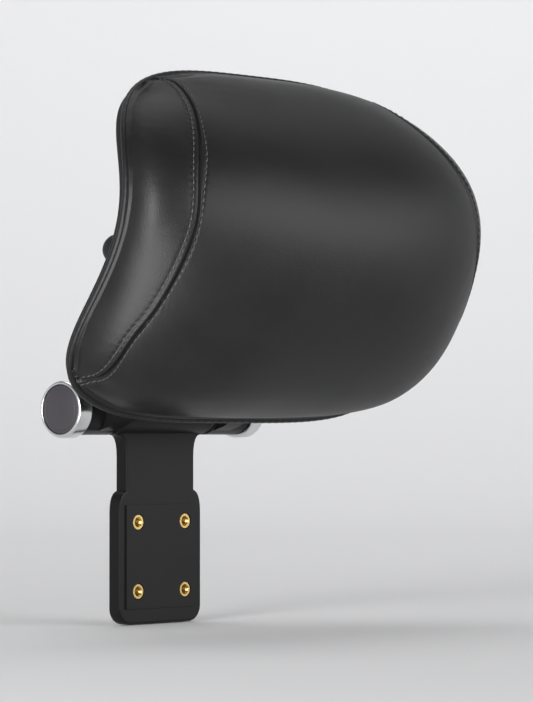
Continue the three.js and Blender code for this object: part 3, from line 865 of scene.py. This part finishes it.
def make_welt():
    """Leather-covered cord round the rear edge, slightly gathered along its length."""
    around = np.linspace(0, 2 * np.pi, WELT_POINTS, endpoint=False)
    centre = cushion(around, np.full(WELT_POINTS, PIPING_AT), -PIPING_PROUD)
    ahead = np.roll(centre, -1, axis=0) - np.roll(centre, 1, axis=0)
    ahead /= np.linalg.norm(ahead, axis=1, keepdims=True)
    outward = np.array([0, 1, 0]) - ahead * ahead[:, 1:2]
    outward /= np.linalg.norm(outward, axis=1, keepdims=True)
    sideways = np.cross(ahead, outward)
    turn = np.linspace(0, 2 * np.pi, WELT_SIDES, endpoint=False)
    length = along_line(np.vstack([centre, centre[:1]]))[:-1]
    drift = WELT_WANDER * np.sin(length / WELT_DRIFT_MM)
    gather = 1 + WELT_GATHER * np.sin(2 * np.pi * length / WELT_PITCH_MM + drift)
    ring = np.cos(turn)[None, :, None] * outward[:, None] + np.sin(turn)[None, :, None] * sideways[:, None]
    points = centre[:, None] + ring * (PIPING_R * gather)[:, None, None]
    faces = grid_faces(WELT_POINTS, WELT_SIDES, 0, True, True)
    piece = new_piece("welt", points.reshape(-1, 3), faces, WELT_MAT, HEADREST, "piping_leather")
    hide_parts("rear_piping")


FOAM_INSET, FOAM_HOLLOW_INSET, FOAM_HOLLOW_DEPTH = 7.0, 9.0, 13.2
FOAM_COLUMNS, FOAM_ROWS, FOAM_HOLLOW_ROWS = 120, 40, 20


def make_foam():
    """Moulded foam under the covers, hollowed at the back for the board."""
    around = np.linspace(0, 2 * np.pi, FOAM_COLUMNS, endpoint=False)
    through = np.linspace(SQUARE * 0.99, -0.3, FOAM_ROWS)
    outer = cushion(around[None], through[:, None], FOAM_INSET)
    share = np.linspace(0.94, 0.02, FOAM_HOLLOW_ROWS)[:, None]
    x, z = outline_point(around[None], FOAM_HOLLOW_INSET, share)
    inner = np.stack([x, back_face(z) - FOAM_HOLLOW_DEPTH, z], axis=-1)
    grid = np.concatenate([outer, inner])
    faces = tube_faces(len(grid), len(around))
    piece = new_piece("foam", grid.reshape(-1, 3), faces, FOAM_MAT, HEADREST, "foam")
    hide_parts("foam_core")


# ---- Shell, caps and screws ----------------------------------------------------------------------------

SHELL_INSET, SHELL_LIFT, SHELL_DEPTH, SHELL_WALL, SHELL_ROUND = 4.5, 0.9, 7.5, 3.0, 6
SHELL_LIP, SHELL_LIP_FROM, SHELL_LIP_TO = 5, 100, 165
SHELL_COLUMNS, SHELL_ROWS = 260, 60
SEAT_Z = 46
LUG_OFF, LUG_THICK = 9, 4
SCREW_X, SCREW_ALONG = 71, (-21, 21)
SHANK_R, HEAD_R, HEAD_HIGH, SOCKET_R, SHANK_INTO = 2.2, 4.6, 2.6, 1.75, 7
CAP_X, CAP_Z, CAP_R, CAP_HEIGHT, CAP_WALL, CAP_LIFT, CAP_POWER = 122, 78, 9, 14.5, 1.6, 1.3, 3
CAP_STEPS, CAP_SIDES, CAP_CLOSED = 30, 64, 2e-4
GAP = 0.3


def shell_layer(inset, depth, shares, around):
    turn = np.sin(shares * SQUARE)
    x, z = outline_point(around, SHELL_INSET + inset, turn)
    rise = (1 - turn**SHELL_ROUND) ** (1 / SHELL_ROUND)
    lip = SHELL_LIP * smoothstep(SHELL_LIP_FROM, SHELL_LIP_TO, z)
    return np.stack([x, back_face(z) + SHELL_LIFT + (depth + lip) * rise, z], axis=-1)


def make_shell():
    """Moulded back shell: a shallow tray that follows the cushion's hollow back, deeper near its top."""
    around = np.linspace(0, 2 * np.pi, SHELL_COLUMNS, endpoint=False)[None]
    shares = (1 - np.linspace(1, 0, SHELL_ROWS) ** 2)[:, None]
    outer = shell_layer(0, SHELL_DEPTH, shares[1:], around)
    inner = shell_layer(SHELL_WALL, SHELL_DEPTH - SHELL_WALL, shares[1:], around)[::-1]
    grid = np.concatenate([outer, inner])
    faces = tube_faces(len(grid), around.size)
    piece = new_piece("shell", grid.reshape(-1, 3), faces, SHELL_MAT, HEADREST, "shell_plastic", 50)
    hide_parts("back_shell")


def on_seat(points, x, z, along=0.0, off=0.0):
    """Points drawn around +Z, set square to the back face at height z."""
    points = np.asarray(points, float) + (0, along, off)
    return moved(points, (x, float(back_face(z)), z), lean_at(z))


def make_caps():
    """Domed covers over the side screws."""
    turn = np.linspace(0, SQUARE, CAP_STEPS)
    out = np.clip(np.cos(turn), CAP_CLOSED, 1) ** (2 / CAP_POWER)
    up = np.sin(turn) ** (2 / CAP_POWER)
    outer = np.stack([CAP_R * out, CAP_HEIGHT * up], -1)
    inner = np.stack([(CAP_R - CAP_WALL) * out, (CAP_HEIGHT - CAP_WALL) * up], -1)[::-1]
    profile = np.vstack([outer, inner])
    for side, sign in SIDES:
        points, faces = lathe(profile, CAP_SIDES, "z")
        place = on_seat(points, sign * CAP_X, CAP_Z, 0, SHELL_DEPTH + SHELL_LIFT + CAP_LIFT)
        piece = new_piece(f"cap_{side}", place, faces, SHELL_MAT, HEADREST, "shell_plastic")
        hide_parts(f"screw_cap_{side}")


SCREW_SIDES = 48
THREAD_STEP, THREAD_DEPTH = 0.5, 0.28
SCREW_TIP, HEAD_EDGE = 1.0, 0.25
AXIS_R = 0.02  # the smallest ring of a piece that is closed on its axis


def screw(under):
    """Button-head screw with a hexagon socket and a threaded shank, its head's underside at a height."""
    angle = np.linspace(0, 2 * np.pi, SCREW_SIDES, endpoint=False)
    hexagon = SOCKET_R / np.cos((angle + math.pi / 6) % (math.pi / 3) - math.pi / 6)
    top = under + HEAD_HIGH
    rings = [(AXIS_R, -SHANK_INTO), (SHANK_R * 0.55, -SHANK_INTO), (SHANK_R, -SHANK_INTO + SCREW_TIP)]
    for step in range(int((under + SHANK_INTO - 2 * SCREW_TIP) / THREAD_STEP)):
        radius = SHANK_R - (THREAD_DEPTH if step % 2 else 0.0)
        rings.append((radius, -SHANK_INTO + SCREW_TIP + THREAD_STEP * (step + 1)))
    rings += [(SHANK_R, under), (HEAD_R - HEAD_EDGE, under)]
    for turn in np.linspace(0, 1, 9):
        rise = (HEAD_HIGH - HEAD_EDGE) * math.sin(turn) / math.sin(1.0)
        rings.append((HEAD_R * math.cos(turn), under + HEAD_EDGE + rise))
    rings += [(hexagon + 0.18, top + 0.02), (hexagon, top - 0.12)]
    rings += [(hexagon * 0.98, top - HEAD_HIGH * 0.62), (AXIS_R, top - HEAD_HIGH * 0.72)]
    points = [np.stack([r * np.cos(angle), r * np.sin(angle), z + 0 * angle], -1) for r, z in rings]
    return np.array(points).reshape(-1, 3), tube_faces(len(rings), SCREW_SIDES)


def make_screws():
    number = 0
    for _, sign in SIDES:
        for along in SCREW_ALONG:
            number += 1
            points, faces = screw(LUG_OFF + LUG_THICK + GAP)
            place = on_seat(points, sign * SCREW_X, SEAT_Z, along)
            piece = new_piece(f"screw_{number}", place, faces, BLACK_STEEL_MAT, HEADREST, "screw_steel", 35)
            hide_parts(f"lug_screw_{number}")


# ---- Moulded hinge pieces: the CAD bodies with rounded edges -------------------------------------------


WELD_M = 2e-6
FLAT_DEG, HARD_DEG, BRACKET_SHARP_DEG = 1.5, 32, 38
ROUND_MM = 0.8


def refined(node, name):
    """The CAD node's own shape, welded and with its hard edges rounded."""
    mesh = frame["nodes"][node].data.copy()
    mesh.name = name
    work = bmesh.new()
    work.from_mesh(mesh)
    bmesh.ops.remove_doubles(work, verts=work.verts, dist=WELD_M)
    flat = math.radians(FLAT_DEG)
    bmesh.ops.dissolve_limit(work, angle_limit=flat, verts=work.verts, edges=work.edges)
    hard = [e for e in work.edges if e.is_manifold and e.calc_face_angle() > math.radians(HARD_DEG)]
    bmesh.ops.bevel(
        work, geom=hard, offset=ROUND_MM * MM, offset_type="OFFSET", segments=3, profile=0.5,
        affect="EDGES", clamp_overlap=True,
    )
    work.to_mesh(mesh)
    work.free()
    body = frame["nodes"][node]["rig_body"]
    piece = finish_piece(name, mesh, SHADED_BRACKET_MAT, body, BRACKET_SHARP_DEG)
    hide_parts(node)
    even = piece.modifiers.new("even_normals", "WEIGHTED_NORMAL")
    even.keep_sharp = True


def make_moulded_hinge():
    for side, _ in SIDES:
        refined(f"hinge_lug_{side}", f"lug_{side}")
    refined("neck_bracket", "bracket")


RING_FROM, RING_TO, RING_R, RING_BORE, RING_LIP, DISC_FROM = 69.5, 79.5, 16.2, 11.6, 14.2, 78.2
DISC_R = 13.9
RING_SIDES = 128


def make_hinge_ends():
    """Bright collars with a rounded outer edge, and the dark discs set in them, their colour darkened with
    painted shade.
    """
    collar = [
        (RING_BORE, RING_FROM), (RING_R - 0.4, RING_FROM), (RING_R, RING_FROM + 0.4),
        (RING_R, RING_TO - 1.4), (RING_R - 0.5, RING_TO - 0.3), (RING_R - 1.2, RING_TO),
        (RING_LIP, RING_TO), (RING_LIP, DISC_FROM - GAP), (RING_BORE, DISC_FROM - GAP),
    ]
    disc = [
        (AXIS_R, DISC_FROM), (DISC_R, DISC_FROM), (DISC_R, RING_TO - 0.7), (DISC_R - 0.5, RING_TO - 0.15),
        (DISC_R - 1.6, RING_TO - 0.1), (DISC_R - 2.0, RING_TO - 0.35), (DISC_R - 2.5, RING_TO - 0.05),
        (6.0, RING_TO + 0.35), (AXIS_R, RING_TO + 0.45),
    ]
    for side, sign in SIDES:
        for name, node, profile, material, slot in (
            (f"collar_{side}", f"end_ring_{side}", rounded(collar, 0.3, 3), SILVER_MAT, "silver"),
            (f"disc_{side}", f"end_disc_{side}", rounded(disc, 0.15, 3), SHADED_DISC_MAT, "disc_plastic"),
        ):
            points, faces = lathe([(r, x * sign) for r, x in profile], RING_SIDES, "x")
            piece = new_piece(name, points, faces, material, NECK, slot, 55)
            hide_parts(node)


INSERT_X, INSERT_Z, INSERT_R, INSERT_BORE, INSERT_MOUTH, INSERT_TURNS = 20, 20, 4.5, 2.5, 0.5, 18
INSERT_SIDES = 48


def make_inserts():
    """Threaded brass inserts in the bracket's blade."""
    low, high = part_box("mount_insert_1")
    front, back = (low.y / MM - HINGE[1], high.y / MM - HINGE[1])
    edge_r = INSERT_R - GAP
    profile = [(edge_r, front), (INSERT_R, front + GAP), (INSERT_R, back - GAP), (edge_r, back)]
    for step in range(INSERT_TURNS, -1, -1):
        radius = INSERT_BORE + (THREAD_DEPTH if step % 2 else 0.0)
        radius += INSERT_MOUTH if step in (0, INSERT_TURNS) else 0.0
        profile.append((radius, front + (back - front) * step / INSERT_TURNS))
    points, faces = lathe(profile, INSERT_SIDES, "z")
    points = points[:, [0, 2, 1]]
    number = 0
    for row in (-1, 1):
        for column in (-1, 1):
            number += 1
            place = points + (column * INSERT_X, 0, row * INSERT_Z - HINGE[2])
            piece = new_piece(f"insert_{number}", place, faces, BRASS_MAT, NECK, "brass", 35)
            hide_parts(f"mount_insert_{number}")


def paint_cad():
    """Materials for the CAD nodes that stay: pieces inside the hinge and behind the covers."""
    paint = {
        "inner_board": PLY_MAT, "staple_strip": LEATHER_MAT, "hinge_shaft": STEEL_MAT,
        "hinge_bush": NYLON_MAT, "friction_washer": FIBRE_MAT, "thrust_washer": STEEL_MAT,
        "disc_spring": STEEL_MAT, "shaft_nut": STEEL_MAT, "side_screw": BLACK_STEEL_MAT,
    }
    for name, node in frame["nodes"].items():
        material = next((m for start, m in paint.items() if name.startswith(start)), None)
        if material is not None:
            node.data.materials.clear()
            node.data.materials.append(material)


# ---- Stage ---------------------------------------------------------------------------------------------

CAMERA_AT = (-1.4883, -1.3711, 0.0745)
LENS_MM = 178
AIM_RIGHT, AIM_Y = 0.012, -0.07
FLOOR_GAP = 0.0005
FLOOR_NEAR, FLOOR_FLAT, SWEEP_R, SWEEP_STEPS, BACKDROP_TOP = -2.5, 1.6, 1.2, 24, 1.9
FLOOR_SIDES = (-3.0, 6.0)
LIT_POINT = (0, -0.1, 0.16)
WORLD_FADE = (0.12, 0.6, 0.7, 0.18)  # from these heights of the sky, to these strengths


def make_stage():
    """Pale floor that curves up into a backdrop, far enough behind the object to stay plain."""
    low, _ = CAD_BOUNDS
    floor_z = low.z - FLOOR_GAP
    shader = Shader("pale_paper", (0.72, 0.72, 0.725), 0.9)
    shader.bump(shader.noise(220, 4.0), 0.05, 0.2)
    profile = [(FLOOR_NEAR, 0.0), (FLOOR_FLAT, 0.0)]
    for turn in np.linspace(0, SQUARE, SWEEP_STEPS)[1:]:
        profile.append((FLOOR_FLAT + SWEEP_R * math.sin(turn), SWEEP_R * (1 - math.cos(turn))))
    profile.append((FLOOR_FLAT + SWEEP_R, BACKDROP_TOP))
    toward = -Vector((CAMERA_AT[0], CAMERA_AT[1], 0)).normalized()
    across = Vector((-toward.y, toward.x, 0))
    points = []
    for out, up in profile:
        for side in FLOOR_SIDES:
            points.append(toward * out + across * side + Vector((0, 0, floor_z + up)))
    mesh = bpy.data.meshes.new("floor")
    mesh.from_pydata([tuple(p) for p in points], [], grid_faces(len(profile), 2))
    mesh.shade_smooth()
    mesh.materials.append(shader.material)
    floor = bpy.data.objects.new("floor", mesh)
    bpy.context.scene.collection.objects.link(floor)


def softbox(name, place, target, size, power):
    """Rectangular light that the camera doesn't see."""
    data = bpy.data.lights.new(name, "AREA")
    data.shape = "RECTANGLE"
    data.size, data.size_y = size
    data.energy = power
    light = bpy.data.objects.new(name, data)
    bpy.context.scene.collection.objects.link(light)
    light.visible_camera = False
    light.location = place
    light.rotation_euler = (Vector(target) - Vector(place)).to_track_quat("-Z", "Y").to_euler()


def make_lights():
    """A sky that is bright low down, and five soft lights."""
    world = bpy.data.worlds.new("studio")
    bpy.context.scene.world = world
    world.use_nodes = True
    background = world.node_tree.nodes["Background"]
    background.inputs["Color"].default_value = (0.93, 0.94, 0.96, 1)
    make = world.node_tree.nodes.new
    link = world.node_tree.links.new
    split, fade = make("ShaderNodeSeparateXYZ"), make("ShaderNodeMapRange")
    for socket, value in zip(RANGE_SOCKETS, WORLD_FADE):
        fade.inputs[socket].default_value = value
    link(make("ShaderNodeTexCoord").outputs["Generated"], split.inputs["Vector"])
    link(split.outputs["Z"], fade.inputs["Value"])
    link(fade.outputs["Result"], background.inputs["Strength"])
    softbox("front_panel", (1.35, -3.2, 0.97), LIT_POINT, (4.4, 1.5), 80)
    softbox("low_card", (-0.62, -0.38, -0.034), (-0.62, -0.38, 1.0), (0.66, 0.66), 12.5)
    softbox("side_strip", (-2.1, -0.75, 0.45), LIT_POINT, (0.7, 0.9), 44)
    softbox("overhead", (0.2, 0.3, 2.2), LIT_POINT, (1.6, 1.2), 7)
    softbox("backdrop_wash", (0.9, 0.7, 2.2), (1.9, 1.8, 0.5), (3.0, 0.8), 24)


def make_camera():
    data = bpy.data.cameras.new("camera")
    data.lens = LENS_MM
    data.sensor_width = 36
    data.clip_end = 50
    camera = bpy.data.objects.new("camera", data)
    bpy.context.scene.collection.objects.link(camera)
    camera.location = CAMERA_AT
    low, high = CAD_BOUNDS
    aim = Vector(((low.x + high.x) / 2 + AIM_RIGHT, AIM_Y, (low.z + high.z) / 2))
    camera.rotation_euler = (aim - Vector(CAMERA_AT)).to_track_quat("-Z", "Y").to_euler()
    bpy.context.scene.camera = camera


make_camera()
make_covers()
make_welt()
make_foam()
make_shell()
make_caps()
make_screws()
make_moulded_hinge()
make_hinge_ends()
make_inserts()
paint_cad()
make_stage()
make_lights()
bpy.context.scene.view_settings.view_transform = "Standard"
